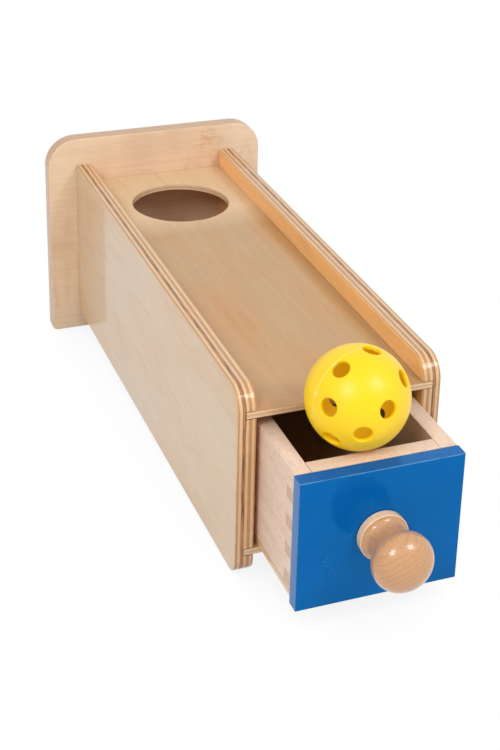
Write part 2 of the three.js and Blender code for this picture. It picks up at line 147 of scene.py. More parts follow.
class CarcassSettings(PropertyGroup):
    """The lacquered birch plywood of the box."""
    face: colour_property("Face veneer", "Pale outer veneer of the thick plywood", "#d6bb9b")
    face_warm: colour_property("Warm veneer", "Warmer patches in the same veneer", "#d5b088")
    inner_face: colour_property("Inner veneer", "Veneer of the sides' inner faces", "#fbc078")
    # The inner veneer at the rear is no colour of the wood: it paints the back plate's reflection on the
    # sides' inner faces.
    inner_painted_reflection: colour_property("Inner veneer at the rear", "Paler veneer near the plate", "#fcc382")
    plate_face: colour_property("Plate veneer", "Veneer of the back plate", "#dfbfa2")
    plate_edge: colour_property("Plate edge", "Sanded edge of the back plate", "#c89f80")
    plate_pale: colour_property("Pale plate veneer", "Paler flames in the plate's veneer", "#e9ccac")
    thin_face: colour_property("Panel veneer", "Veneer of the thin panels", "#bc9768")
    thin_warm: colour_property("Warm panel veneer", "Warmer patches in the thin panels", "#c08e58")
    thin_middle: colour_property("Middle ply", "The middle ply of the thin panels", "#d8b289")
    thin_edge: colour_property("Panel edge", "Outer plies at the edges of the thin panels", "#e8c9a6")
    # The panel veneer at the rear is a painted reflection of the back plate, not a colour of the wood.
    thin_painted_reflection: colour_property("Panel veneer at the rear", "Paler, warmer veneer round the hole", "#dcbd95")
    pale_ply: colour_property("Pale ply", "Plies that show long grain at the edge", "#dcbb93")
    orange_ply: colour_property("Orange ply", "Plies that show end grain at the edge", "#c18d5a")
    torn_ply: colour_property("Torn ply", "The darker ply that the saw tore", "#a8744a")
    figure: colour_property("Figure", "Growth lines and knots in the veneers", "#c88d5a")
    grain_width: length_property("Grain width", "Width of a grain streak", 2.2)
    gloss: FloatProperty(
        name="Roughness", description="Roughness of the satin lacquer", subtype="FACTOR", min=0, max=1,
        default=0.38)


class DrawerSettings(PropertyGroup):
    """The beech drawer, its blue front and its screws."""
    beech: colour_property("Beech", "Planed beech walls", "#e8cdb8")
    beech_fleck: colour_property("Beech fleck", "Short ray flecks in the beech", "#c39a7c")
    end_grain: colour_property("End grain", "The ends of the fingers", "#d0ad97")
    blue: colour_property("Blue lacquer", "Opaque lacquer on the front", "#0059a4")
    # The paler blue marks the dust nibs and also a painted highlight along the upper front edge.
    blue_dust_and_edge_highlight: colour_property("Worn blue", "Dust nibs and the rubbed edge of the lacquer", "#9cc0e4")
    blue_sheen: colour_property("Blue sheen", "Tint of the lacquer's mirror image", "#00e4ff")
    zinc: colour_property("Zinc", "Plating of the screws", "#aeb3b8")
    zinc_bright: colour_property("Bright zinc", "Brighter patches of the plating", "#cbd0d3")
    wall_ease: length_property("Wall edge", "Sanded edge of the drawer walls", 0.12)


class KnobSettings(PropertyGroup):
    """The turned knob."""
    wood: colour_property("Turned beech", "Lacquered beech of the knob", "#ca976a")
    rim: colour_property("Rim", "Sanded rim of the flange", "#f2cba3")
    ring: colour_property("Growth ring", "Darker lines of the growth rings", "#b68050")
    flange_diameter: length_property("Flange", "Diameter of the flange", 22.2)
    flange: length_property("Flange depth", "Depth of the flange along the knob", 4.0)
    flange_round: length_property("Flange edge", "Rounding of the flange's edge", 0.5)
    neck_diameter: length_property("Neck", "Diameter that the neck is drawn towards", 16.0)
    head_diameter: length_property("Head", "Diameter of the head", 27.0)
    head_half_length: length_property("Head half length", "Half of the head along the knob", 10.18)
    head_centre: length_property("Head centre", "From the front to the head's middle", 20.8)
    turns: IntProperty(name="Segments", description="Steps of the turned surface", default=96, min=12)


class BallSettings(PropertyGroup):
    """The perforated ball."""
    yellow: colour_property("Yellow", "Moulded yellow plastic", "#ffd300")
    inside: colour_property("Inside", "The same plastic inside the ball", "#ffdc20")
    seam: colour_property("Seam", "Pale weld line of the ball", "#ffeb96")
    gloss: colour_property("Gloss", "Tint of the plastic's highlights", "#c4b3da")
    seeping: FloatProperty(
        name="Seeping light", description="Daylight that comes through the thin wall", subtype="FACTOR",
        min=0, max=1, default=0.07)
    wall: length_property("Wall", "Thickness of the shell", 1.6)
    perforation: length_property("Perforation", "Diameter of each hole", 7.8)
    rim: length_property("Rim", "Rounding of each hole's rim", 0.5)


class StageSettings(PropertyGroup):
    """The floor, the lights and the camera."""
    floor: colour_property("Floor", "Plain floor as the camera sees it", "#ffffff")
    floor_paint: colour_property("Floor paint", "Floor as it lights the object", "#e6e6e6")
    floor_shadow: colour_property("Floor shadow", "Floor close under the object", "#8c8c8c")
    shadow_reach: length_property("Shadow reach", "How far the contact shadow spreads", 160.0)
    camera_place: FloatVectorProperty(
        name="Camera", description="Where the camera stands", subtype="TRANSLATION",
        default=(-0.24047, -0.63659, 0.38959))
    camera_target: FloatVectorProperty(
        name="Aim", description="Where the camera looks", subtype="TRANSLATION",
        default=(-0.00333, 0.0, 0.13656))
    lens: FloatProperty(
        name="Lens", description="Focal length in mm", subtype="DISTANCE_CAMERA", default=72.27)
    rise: FloatProperty(name="Rise", description="Upward shift of the view", default=-0.2333)
    roll: FloatProperty(
        name="Roll", description="How far the camera leans", subtype="ANGLE", default=math.radians(0.424))
    daylight: FloatProperty(name="Daylight", description="Strength of the even light", default=0.66, min=0)
    key_power: FloatProperty(
        name="Key", description="Power of the left softbox", unit="POWER", default=9.0)
    fill_power: FloatProperty(
        name="Fill", description="Power of the right softbox", unit="POWER", default=8.5)
    softbox: length_property("Softbox", "Side of each square softbox", 500.0)


def empty_tree(owner):
    """The node tree of a material or a world, with nothing in it."""
    owner.use_nodes = True
    owner.node_tree.nodes.clear()
    return owner.node_tree


def add_node(tree, kind, inputs=None, **settings):
    """Adds a node with its settings, and fills its inputs with values or with other nodes' outputs."""
    made = tree.nodes.new(kind)
    for name, value in settings.items():
        setattr(made, name, value)
    for socket, value in (inputs or {}).items():
        if isinstance(value, bpy.types.NodeSocket):
            tree.links.new(value, made.inputs[socket])
        else:
            made.inputs[socket].default_value = value
    return made


def new_material(name):
    """An empty node material, its tree, and the place in millimetres along the level box."""
    material = bpy.data.materials.new(name)
    tree = empty_tree(material)
    own = add_node(tree, "ShaderNodeTexCoord")
    level = add_node(tree, "ShaderNodeMapping", {
        "Vector": own.outputs["Object"],
        "Rotation": (-SLOPE, 0.0, 0.0),
        "Scale": (1 / MM, 1 / MM, 1 / MM),
    })
    return material, tree, level.outputs["Vector"]


def lay_surface(tree, inputs):
    """Ends a material with its shader, from constants and patterns."""
    shader = add_node(tree, "ShaderNodeBsdfPrincipled", inputs)
    add_node(tree, "ShaderNodeOutputMaterial", {"Surface": shader.outputs["BSDF"]})


def streaks(tree, place, grain_axis, width, length, detail=3.0, offset=0.0):
    """Noise drawn out along one or more axes, in marks about width by length millimetres."""
    scale = [1 / length if axis in grain_axis else 1 / width for axis in "XYZ"]
    drawn_out = add_node(tree, "ShaderNodeMapping", {
        "Vector": place, "Scale": scale, "Location": (offset, offset, offset)})
    noise = add_node(tree, "ShaderNodeTexNoise", {
        "Vector": drawn_out.outputs["Vector"], "Scale": 1.0, "Detail": detail})
    return noise.outputs["Fac"]


def distance_from(tree, place, point, weights=(1.0, 1.0, 1.0)):
    """How far a place is from a point, with a weight for each direction."""
    apart = add_node(tree, "ShaderNodeVectorMath", {0: place, 1: point}, operation="SUBTRACT")
    weighted = add_node(tree, "ShaderNodeVectorMath", {
        0: apart.outputs["Vector"], 1: weights}, operation="MULTIPLY")
    far = add_node(tree, "ShaderNodeVectorMath", {0: weighted.outputs["Vector"]}, operation="LENGTH")
    return far.outputs["Value"]


def pattern_value(tree, *patterns, join="MULTIPLY"):
    """One value from one or more patterns, which are multiplied or joined in another way.

    A pattern is a node's output, or such an output with the low and high end of the stretch of it that counts
    and the value at each of these ends, which is 0 and 1 if it isn't given.
    """
    joined = None
    for pattern in patterns:
        if isinstance(pattern, tuple):
            value, low, high, *ends = pattern
            at_low, at_high = ends or (0.0, 1.0)
            pattern = add_node(tree, "ShaderNodeMapRange", {
                "Value": value, "From Min": low, "From Max": high, "To Min": at_low, "To Max": at_high,
            }).outputs["Result"]
        if joined is not None:
            pattern = add_node(tree, "ShaderNodeMath", {0: joined, 1: pattern}, operation=join).outputs[0]
        joined = pattern
    return joined


def stained(tree, colour, other, *patterns):
    """A colour that turns into another one where the patterns say."""
    share = pattern_value(tree, *patterns)
    mixed = add_node(tree, "ShaderNodeMix", {0: share, 6: colour, 7: other}, data_type="RGBA")
    return mixed.outputs[2]


def mottled(tree, colour, pattern):
    """A colour that a pattern makes darker and lighter."""
    shade = pattern_value(tree, pattern)
    mixed = add_node(
        tree, "ShaderNodeMix", {0: 1.0, 6: colour, 7: shade}, data_type="RGBA", blend_type="MULTIPLY")
    return mixed.outputs[2]


def sawn_edge(tree, place, depth, plies, across, torn):
    """The sawn edge of plywood: a stripe for each ply, lightly stained, and one ply that the saw tore."""
    thickness = sum(ply for ply, _ in plies)
    layers = add_node(tree, "ShaderNodeValToRGB", {"Fac": depth})
    stripes = layers.color_ramp.elements
    layers.color_ramp.interpolation = "CONSTANT"
    while len(stripes) < len(plies):
        stripes.new(1.0)
    reached = 0.0
    for stripe, (ply, colour) in zip(stripes, plies):
        stripe.position = reached / thickness
        stripe.color = rgba(colour)
        reached += ply
    along_edge = "XYZ".replace(across, "")
    stain = streaks(tree, place, along_edge, width=0.7, length=11.0, detail=4.0, offset=23.0)
    edge = mottled(tree, layers.outputs["Color"], (stain, 0.35, 0.7, 1.03, 0.95))
    if torn is None:
        return edge
    # The torn ply took up dirt in places along the edge.
    half = plies[torn][0] / 2
    middle = sum(ply for ply, _ in plies[:torn]) + half
    in_torn = add_node(tree, "ShaderNodeMath", {
        0: depth, 1: middle / thickness, 2: half / thickness}, operation="COMPARE")
    dirty = mottled(tree, layers.outputs["Color"], (stain, 0.38, 0.64, 1.35, 0.5))
    return stained(tree, edge, dirty, in_torn.outputs[0])


def figured(tree, place, veneer, figure, grain_axis, flame_axis, knot):
    """Veneer with the growth lines of peeled birch and, where there is one, a cluster of small knots."""
    # The growth rings show as wandering lines, strong in some places and lost in others.
    swell = streaks(tree, place, flame_axis, width=26.0, length=150.0, detail=1.0, offset=31.0)
    ring_step = 0.07
    rings = add_node(tree, "ShaderNodeMath", {0: swell, 1: ring_step}, operation="PINGPONG")
    strong = streaks(tree, place, grain_axis, width=20.0, length=40.0, detail=1.0, offset=41.0)
    veneer = stained(
        tree, veneer, rgba(figure), (rings.outputs[0], 0.0, 0.026, 0.22, 0.0), (strong, 0.42, 0.6))
    if knot:
        from_knot = distance_from(tree, place, knot)
        knot_reach = 12.0
        speckle = streaks(tree, place, "X", width=1.8, length=5.0, offset=51.0)
        veneer = stained(
            tree, veneer, rgba(figure), (from_knot, 1.0, knot_reach, 0.5, 0.0), (speckle, 0.42, 0.62))
    return veneer


def lacquered_plywood(
        name, settings, across, start, plies, grain_axis, face, warm,
        inner=None, rear=None, flame_axis=None, knot=None, torn=None):
    """Birch plywood under satin lacquer, cut from a solid of plies.

    The faces show a pale veneer with soft streaks and warm clouds, and every sawn edge shows the stripes of
    its plies. across is the axis through the board, and plies lists the thickness and colour of each ply from
    start on.
    With an inner colour, the board is measured from the middle of the box, so one material serves both sides.
    rear is a colour that the veneer, or the inner veneer, takes on between two places along the box: a
    painted reflection of the back plate.
    The clouds and growth lines run along the grain, or along the flame axis where the veneer is flamed.
    knot is a place in the face where small knots lie together, and torn is the number of a ply that the saw
    tore.
    """
    material, tree, place = new_material(name)
    flame_axis = flame_axis or grain_axis
    thickness = sum(ply for ply, _ in plies)
    axes = add_node(tree, "ShaderNodeSeparateXYZ", {"Vector": place})
    through = axes.outputs[across]
    if inner:
        through = add_node(tree, "ShaderNodeMath", {0: through}, operation="ABSOLUTE").outputs[0]
    # The glue lines wander by a quarter of a millimetre, about half of that on average.
    wander = streaks(tree, place, grain_axis, width=9.0, length=60.0)
    most_wander = 0.25
    mean_wander = 0.12
    wandering = add_node(tree, "ShaderNodeMath", {
        0: wander, 1: most_wander, 2: through}, operation="MULTIPLY_ADD").outputs[0]
    depth = pattern_value(tree, (wandering, start + mean_wander, start + mean_wander + thickness))

    clouds = streaks(tree, place, flame_axis, width=28.0, length=90.0, detail=2.0, offset=3.0)
    veneer = stained(tree, rgba(face), rgba(warm), (clouds, 0.42, 0.68))
    tone = rgba(inner) if inner else veneer
    # Towards the plate the veneer takes on a painted reflection of the back plate.
    if rear:
        colour, begin, end = rear
        tone = stained(tree, tone, rgba(colour), (axes.outputs["Y"], begin, end))
    veneer = stained(tree, tone, veneer, (depth, 0.4, 0.6)) if inner else tone
    veneer = figured(tree, place, veneer, settings.figure, grain_axis, flame_axis, knot)
    veneer_skin = 0.3
    inside = add_node(tree, "ShaderNodeMath", {
        0: depth, 1: 0.5, 2: 0.5 - veneer_skin / thickness}, operation="COMPARE").outputs[0]
    colour = stained(tree, veneer, sawn_edge(tree, place, depth, plies, across, torn), inside)

    grain_width = settings.grain_width / MM
    grain = streaks(tree, place, grain_axis, width=grain_width, length=55.0, detail=4.0, offset=7.0)
    # The vessels of birch are about 0.1 mm wide. Their lines are drawn coarser, so that they show.
    fibre = streaks(tree, place, grain_axis, width=0.5, length=9.0, detail=2.0, offset=11.0)
    fleck = streaks(tree, place, grain_axis, width=0.7, length=3.2, detail=1.0, offset=17.0)
    colour = mottled(tree, colour, (grain, 0.3, 0.7, 0.95, 1.035))
    colour = mottled(tree, colour, (fibre, 0.3, 0.7, 0.95, 1.035))
    colour = mottled(tree, colour, (fleck, 0.66, 0.74, 1.0, 0.94))
    relief = add_node(tree, "ShaderNodeBump", {"Height": fibre, "Distance": 0.05 * MM, "Strength": 0.25})
    lay_surface(tree, {
        "Base Color": colour,
        "Roughness": pattern_value(tree, (fibre, 0.2, 0.8, settings.gloss - 0.05, settings.gloss + 0.07)),
        "IOR": 1.5,
        "Specular IOR Level": 0.25,
        "Coat Weight": 0.5,
        "Coat Roughness": 0.06,
        "Normal": relief.outputs["Normal"],
    })
    return material


def thin_plywood(name, node, settings, painted_rear_reflection=False):
    """Three-ply panel, as satin as the sides and warmer. One with a painted rear reflection turns paler near
    the plate, a painted reflection of it.
    """
    low, high = levelled_extent(node)
    ply = (high[2] - low[2]) / 3
    plies = ((ply, settings.thin_edge), (ply, settings.thin_middle), (ply, settings.thin_edge))
    # How far before the rear end the painted reflection of the plate begins to make the veneer paler, and
    # where it is palest.
    reflection_begin, reflection_end = 90.0, 60.0
    rear = (settings.thin_painted_reflection, high[1] - reflection_begin, high[1] - reflection_end) if painted_rear_reflection else None
    return lacquered_plywood(
        name, settings, "Z", low[2], plies, "Y", settings.thin_face, settings.thin_warm, rear=rear)


def planed_beech(name, grain_axis, settings):
    """Planed and lightly lacquered beech: pinkish, with short ray flecks, and darker where the grain ends."""
    material, tree, place = new_material(name)
    tone = streaks(tree, place, grain_axis, width=6.0, length=70.0, offset=2.0)
    # Real flecks are about 0.2 mm wide. They are drawn twice as wide, so that they show.
    fleck = streaks(tree, place, grain_axis, width=0.45, length=2.6, detail=1.5, offset=5.0)
    fibre = streaks(tree, place, grain_axis, width=0.8, length=22.0, offset=9.0)
    colour = stained(tree, rgba(settings.beech), rgba(settings.beech_fleck), (fleck, 0.56, 0.68, 0.0, 0.55))
    colour = mottled(tree, colour, (tone, 0.3, 0.7, 0.91, 1.06))
    colour = mottled(tree, colour, (fibre, 0.3, 0.7, 0.95, 1.04))
    own = add_node(tree, "ShaderNodeTexCoord")
    facing = add_node(tree, "ShaderNodeSeparateXYZ", {"Vector": own.outputs["Normal"]})
    end_on = add_node(tree, "ShaderNodeMath", {0: facing.outputs[grain_axis]}, operation="ABSOLUTE")
    pores = streaks(tree, place, grain_axis, width=0.4, length=8.0, detail=1.0, offset=21.0)
    ends = mottled(tree, rgba(settings.end_grain), (pores, 0.35, 0.65, 0.85, 1.1))
    colour = stained(tree, colour, ends, (end_on.outputs[0], 0.7, 0.9))
    relief = add_node(tree, "ShaderNodeBump", {"Height": fibre, "Distance": 0.05 * MM, "Strength": 0.3})
    lay_surface(tree, {
        "Base Color": colour,
        "Roughness": pattern_value(tree, (fleck, 0.3, 0.7, 0.42, 0.52)),
        "IOR": 1.5,
        "Coat Weight": 0.15,
        "Coat Roughness": 0.25,
        "Normal": relief.outputs["Normal"],
    })
    return material


def turned_beech(settings, seat):
    """Beech turned on a lathe, sanded and gloss lacquered: arcs of growth rings and bright highlights."""
    material, tree, place = new_material("turned_gloss_beech")
    # The blank was cut beside the heart of the log, so the rings cross the knob as gentle arcs.
    heart = seat + Vector((34.0, 0.0, -58.0))
    from_heart = distance_from(tree, place, heart, (1.0, 0.04, 1.0))
    wander = streaks(tree, place, "Y", width=7.0, length=40.0, detail=2.0, offset=4.0)
    ring_wander = 1.6
    wandering = add_node(tree, "ShaderNodeMath", {
        0: wander, 1: ring_wander, 2: from_heart}, operation="MULTIPLY_ADD")
    ring_spacing = 2.1
    ring = add_node(tree, "ShaderNodeMath", {0: wandering.outputs[0], 1: ring_spacing}, operation="MODULO")
    late_wood = (ring.outputs[0], ring_spacing * 0.55, ring_spacing * 0.96, 0.0, 0.4)
    colour = stained(tree, rgba(settings.wood), rgba(settings.ring), late_wood)
    # The rim of the flange is drawn paler than the rest of the knob.
    from_axis = distance_from(tree, place, seat, (1.0, 0.0, 1.0))
    along = add_node(tree, "ShaderNodeSeparateXYZ", {"Vector": place})
    outer = settings.flange_diameter / 2 / MM
    face = seat.y - settings.flange / MM
    on_rim = (from_axis, outer - 0.5, outer - 0.2)
    behind_face = (along.outputs["Y"], face - 0.4, face)
    colour = stained(tree, colour, rgba(settings.rim), on_rim, behind_face)
    # Fibres and ray flecks are drawn coarser than real ones, so that they show.
    fibre = streaks(tree, place, "Y", width=0.5, length=14.0, detail=2.0, offset=6.0)
    fleck = streaks(tree, place, "Y", width=0.5, length=6.0, detail=1.0, offset=13.0)
    colour = mottled(tree, colour, (fibre, 0.3, 0.7, 0.93, 1.05))
    colour = mottled(tree, colour, (fleck, 0.62, 0.72, 1.0, 0.74))
    relief = add_node(tree, "ShaderNodeBump", {"Height": fibre, "Distance": 0.03 * MM, "Strength": 0.2})
    lay_surface(tree, {
        "Base Color": colour,
        "Roughness": 0.34,
        "IOR": 1.5,
        "Specular IOR Level": 0.3,
        "Coat Weight": 0.8,
        "Coat Roughness": 0.14,
        "Normal": relief.outputs["Normal"],
    })
    return material


def sprayed_blue_lacquer(settings):
    """Opaque gloss lacquer sprayed on wood: a deep even blue, a trace of orange peel, a few dust nibs and a
    painted highlight along the upper front edge.
    """
    material, tree, place = new_material("sprayed_blue_lacquer")
    low, high = levelled_extent("drawer_front_panel")
    # Dust nibs are about 0.3 mm across. They gather low on the left and round the knob.
    nib_spacing = 1.3
    dust = add_node(tree, "ShaderNodeTexVoronoi", {
        "Vector": place, "Scale": 1 / nib_spacing, "Randomness": 1.0})
    dusty_right = 12.0
    dusty_up = 19.0
    from_corner = distance_from(tree, place, (low[0] + dusty_right, low[1], low[2] + dusty_up))
    knob = knob_seat()
    from_knob = distance_from(tree, place, (knob.x, low[1], knob.z))
    dusty = pattern_value(
        tree, (from_corner, 4.0, 13.0, 1.0, 0.05), (from_knob, 13.0, 18.0, 1.0, 0.0), join="MAXIMUM")
    patchy = streaks(tree, place, "X", width=5.0, length=5.0, detail=2.0, offset=12.0)
    nib = pattern_value(tree, (dust.outputs["Distance"], 0.08, 0.24, 0.3, 0.0), dusty, (patchy, 0.45, 0.6))
    # A broken hairline of paler blue on the upper front edge is a painted highlight of its eased edge.
    from_edge = distance_from(tree, place, (0.0, low[1], high[2]), (0.0, 1.0, 1.0))
    broken = streaks(tree, place, "X", width=4.0, length=12.0, offset=6.0)
    highlighted = pattern_value(tree, (from_edge, 0.2, 0.34, 0.38, 0.0), (broken, 0.36, 0.5))
    # Dust nibs and the painted highlight share the paler blue.
    dust_and_edge_highlight = pattern_value(tree, nib, highlighted, join="MAXIMUM")
    colour = stained(tree, rgba(settings.blue), rgba(settings.blue_dust_and_edge_highlight), dust_and_edge_highlight)
    cloud = streaks(tree, place, "X", width=18.0, length=30.0, detail=2.0, offset=2.0)
    colour = mottled(tree, colour, (cloud, 0.3, 0.7, 0.96, 1.04))
    peel = streaks(tree, place, "X", width=1.6, length=1.6, detail=1.0, offset=8.0)
    relief = add_node(tree, "ShaderNodeBump", {"Height": peel, "Distance": 0.02 * MM, "Strength": 0.08})
    lay_surface(tree, {
        "Base Color": colour,
        "Roughness": pattern_value(tree, (peel, 0.3, 0.7, 0.08, 0.12)),
        "IOR": 1.42,
        "Specular IOR Level": 0.6,
        "Specular Tint": rgba(settings.blue_sheen),
        "Normal": relief.outputs["Normal"],
    })
    return material


def zinc_plated_steel(settings):
    """Zinc-plated steel screws: cool grey metal with a slightly mottled plating."""
    material, tree, place = new_material("zinc_plated_steel")
    mottle = streaks(tree, place, "Y", width=1.0, length=1.0)
    lay_surface(tree, {
        "Base Color": stained(tree, rgba(settings.zinc), rgba(settings.zinc_bright), (mottle, 0.3, 0.7)),
        "Roughness": pattern_value(tree, (mottle, 0.3, 0.7, 0.3, 0.42)),
        "Metallic": 1.0,
    })
    return material


def moulded_yellow_plastic(settings, centre):
    """Soft polyethylene, blow moulded in two halves: full yellow, broad dull highlights, a pale weld line."""
    material, tree, place = new_material("moulded_yellow_polyethylene")
    from_centre = add_node(tree, "ShaderNodeVectorMath", {0: place, 1: centre}, operation="SUBTRACT")
    along_pole = add_node(tree, "ShaderNodeVectorMath", {
        0: from_centre.outputs["Vector"], 1: SEAM_POLE}, operation="DOT_PRODUCT")
    off_seam = add_node(tree, "ShaderNodeMath", {0: along_pole.outputs["Value"]}, operation="ABSOLUTE")
    gaps = streaks(tree, place, "Z", width=9.0, length=9.0, detail=1.0, offset=5.0)
    weld = pattern_value(tree, (off_seam.outputs[0], 0.08, 0.24, 1.0, 0.0), (gaps, 0.3, 0.5, 0.35, 0.8))
    # The gate left a small ring on the weld line, measured here in radii of the ball.
    gate_radius = 0.034
    gate_line = 0.011
    heading = add_node(tree, "ShaderNodeVectorMath", {
        0: from_centre.outputs["Vector"]}, operation="NORMALIZE")
    from_gate = distance_from(tree, heading.outputs["Vector"], GATE)
    gate = add_node(tree, "ShaderNodeMath", {
        0: from_gate, 1: gate_radius, 2: gate_line}, operation="COMPARE")
    marks = pattern_value(tree, weld, gate.outputs[0], join="MAXIMUM")
    skin = streaks(tree, place, "Z", width=1.2, length=1.2, detail=2.0, offset=3.0)
    relief = add_node(tree, "ShaderNodeBump", {"Height": marks, "Distance": 0.12 * MM, "Strength": 0.5})
    lay_surface(tree, {
        "Base Color": stained(tree, rgba(settings.yellow), rgba(settings.seam), marks),
        "Roughness": pattern_value(tree, (skin, 0.3, 0.7, 0.35, 0.39)),
        "IOR": 1.5,
        "Specular IOR Level": 0.7,
        "Specular Tint": rgba(settings.gloss),
        "Normal": relief.outputs["Normal"],
    })
    return material


def blown_plastic_inside(settings):
    """The inside of a blow-moulded ball: the same plastic, matt where it never touched the mould."""
    material, tree, place = new_material("blown_polyethylene_inside")
    haze = streaks(tree, place, "Z", width=3.0, length=3.0, detail=2.0, offset=9.0)
    # The thin wall lets some daylight through. A faint even emission stands in for it.
    lay_surface(tree, {
        "Base Color": mottled(tree, rgba(settings.inside), (haze, 0.3, 0.7, 0.97, 1.0)),
        "Roughness": 0.6,
        "Emission Color": rgba(settings.inside),
        "Emission Strength": settings.seeping,
    })
    return material


def smooth_surface_group():
    """Geometry nodes that weld a piece's facets and shade its curves smooth, with its edges left crisp."""
    name = "smooth_curved_faces"
    if name in bpy.data.node_groups:
        return bpy.data.node_groups[name]
    group = bpy.data.node_groups.new(name, "GeometryNodeTree")
    group.interface.new_socket("Geometry", in_out="INPUT", socket_type="NodeSocketGeometry")
    group.interface.new_socket("Geometry", in_out="OUTPUT", socket_type="NodeSocketGeometry")
    entry = add_node(group, "NodeGroupInput")
    plain = add_node(group, "GeometryNodeRemoveAttribute", {
        "Geometry": entry.outputs[0], "Name": "custom_normal"})
    welded = add_node(group, "GeometryNodeMergeByDistance", {"Geometry": plain.outputs[0], "Distance": WELD})
    rounded = add_node(group, "GeometryNodeSetShadeSmooth", {"Geometry": welded.outputs[0]})
    angle = add_node(group, "GeometryNodeInputMeshEdgeAngle")
    sharp = add_node(group, "FunctionNodeCompare", {
        0: angle.outputs["Unsigned Angle"], 1: CRISP_ANGLE}, data_type="FLOAT", operation="GREATER_THAN")
    crisp = add_node(group, "GeometryNodeSetShadeSmooth", {
        "Geometry": rounded.outputs[0], "Selection": sharp.outputs[0], "Shade Smooth": False}, domain="EDGE")
    add_node(group, "NodeGroupOutput", {0: crisp.outputs[0]})
    return group


def finish_node(node, material, ease=0.0):
    """Gives a CAD node its material, smooth curves and, where an easing is given, sanded edges."""
    piece = NODES[node]
    piece.data.materials.clear()
    piece.data.materials.append(material)
    shading = piece.modifiers.new("smooth_curves", "NODES")
    shading.node_group = smooth_surface_group()
    if ease > 0:
        sanded = piece.modifiers.new("sanded_edge", "BEVEL")
        sanded.width = ease
        sanded.segments = 2
        sanded.limit_method = "ANGLE"
        sanded.angle_limit = SANDED_ANGLE
        again = piece.modifiers.new("smooth_edges", "NODES")
        again.node_group = smooth_surface_group()
    # Large faces outweigh the small facets at their edges, so flat faces mirror like flat ones.
    flat = piece.modifiers.new("flat_faces", "WEIGHTED_NORMAL")
    flat.mode = "FACE_AREA"
    flat.weight = 100
    flat.keep_sharp = True


def finished_mesh(name, work):
    """A mesh from worked faces, shaded smooth with its sharp edges left crisp."""
    bmesh.ops.recalc_face_normals(work, faces=work.faces)
    for face in work.faces:
        face.smooth = True
    for edge in work.edges:
        edge.smooth = edge.calc_face_angle(0.0) < CRISP_ANGLE
    mesh = bpy.data.meshes.new(name)
    work.to_mesh(mesh)
    work.free()
    return mesh


def new_piece(name, mesh, body, slot, *nodes):
    """A Blender piece that rides on a body and stands for CAD nodes."""
    piece = bpy.data.objects.new(name, mesh)
    bpy.context.scene.collection.objects.link(piece)
    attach(piece, body)
    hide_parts(*nodes)
    return piece


class DRAWERBOX_OT_carcass(Operator):
    """Finish the sides, the back plate, the thin panels and the hidden dowels"""
    bl_idname = "drawerbox.carcass"
    bl_label = "Carcass"

    def execute(self, context):
        settings = context.scene.carcass
        pale, orange = settings.pale_ply, settings.orange_ply
        # The plies of 9 mm, from the inside out: pale long grain between darker end grain, and a thin face.
        plies = (
            (0.9, orange), (1.2, pale), (1.5, orange), (1.2, pale), (1.7, settings.torn_ply), (1.3, pale),
            (0.8, orange), (0.4, settings.face))
        low, high = levelled_extent("right_side")
        # How far before the rear end the painted reflection of the plate begins to make the inner veneer
        # paler, and where it is palest.
        reflection_begin, reflection_end = 150.0, 40.0
        rear = (settings.inner_painted_reflection, high[1] - reflection_begin, high[1] - reflection_end)
        sides = lacquered_plywood(
            "lacquered_birch_plywood_sides", settings, "X", low[0], plies, "Y", settings.face,
            settings.face_warm, inner=settings.inner_face, rear=rear, torn=4)
        for node in ("left_side", "right_side"):
            finish_node(node, sides)
        self.finish_plate(settings, plies)
        # Both thin panels get the painted reflection of the plate near their rear ends.
        for node in ("top_panel", "bottom_panel"):
            finish_node(node, thin_plywood(f"lacquered_thin_plywood_{node}", node, settings, painted_rear_reflection=True))
        dowel_beech = planed_beech("fluted_dowel_beech", "Y", context.scene.drawer)
        for node in NODES:
            if node.startswith("dowel_"):
                finish_node(node, dowel_beech)
        return {"FINISHED"}

    def finish_plate(self, settings, plies):
        """The back plate, whose edge is sanded and lacquered almost to the tone of its faces."""
        sanding = 0.75
        edge = Vector(settings.plate_edge)
        sanded = [(ply, Vector(colour).lerp(edge, sanding)) for ply, colour in plies]
        low, high = levelled_extent("back_plate")
        knot_right = 32.0
        knot_down = 8.0
        finish_node("back_plate", lacquered_plywood(
            "lacquered_birch_plywood_plate", settings, "Y", low[1], sanded, "X", settings.plate_pale,
            settings.plate_face, flame_axis="Z", knot=(knot_right, low[1], high[2] - knot_down)))


class DRAWERBOX_OT_drawer(Operator):
    """Finish the finger-jointed walls and the thin bottom of the drawer"""
    bl_idname = "drawerbox.drawer"
    bl_label = "Drawer"

    def execute(self, context):
        settings = context.scene.drawer
        lengthwise = planed_beech("planed_beech_long_walls", "Y", settings)
        crosswise = planed_beech("planed_beech_end_walls", "X", settings)
        for node in ("drawer_left_wall", "drawer_right_wall"):
            finish_node(node, lengthwise, settings.wall_ease)
        for node in ("drawer_front_wall", "drawer_rear_wall"):
            finish_node(node, crosswise, settings.wall_ease)
        bottom = thin_plywood("lacquered_thin_plywood_drawer", "drawer_bottom", context.scene.carcass)
        finish_node("drawer_bottom", bottom, settings.wall_ease)
        return {"FINISHED"}


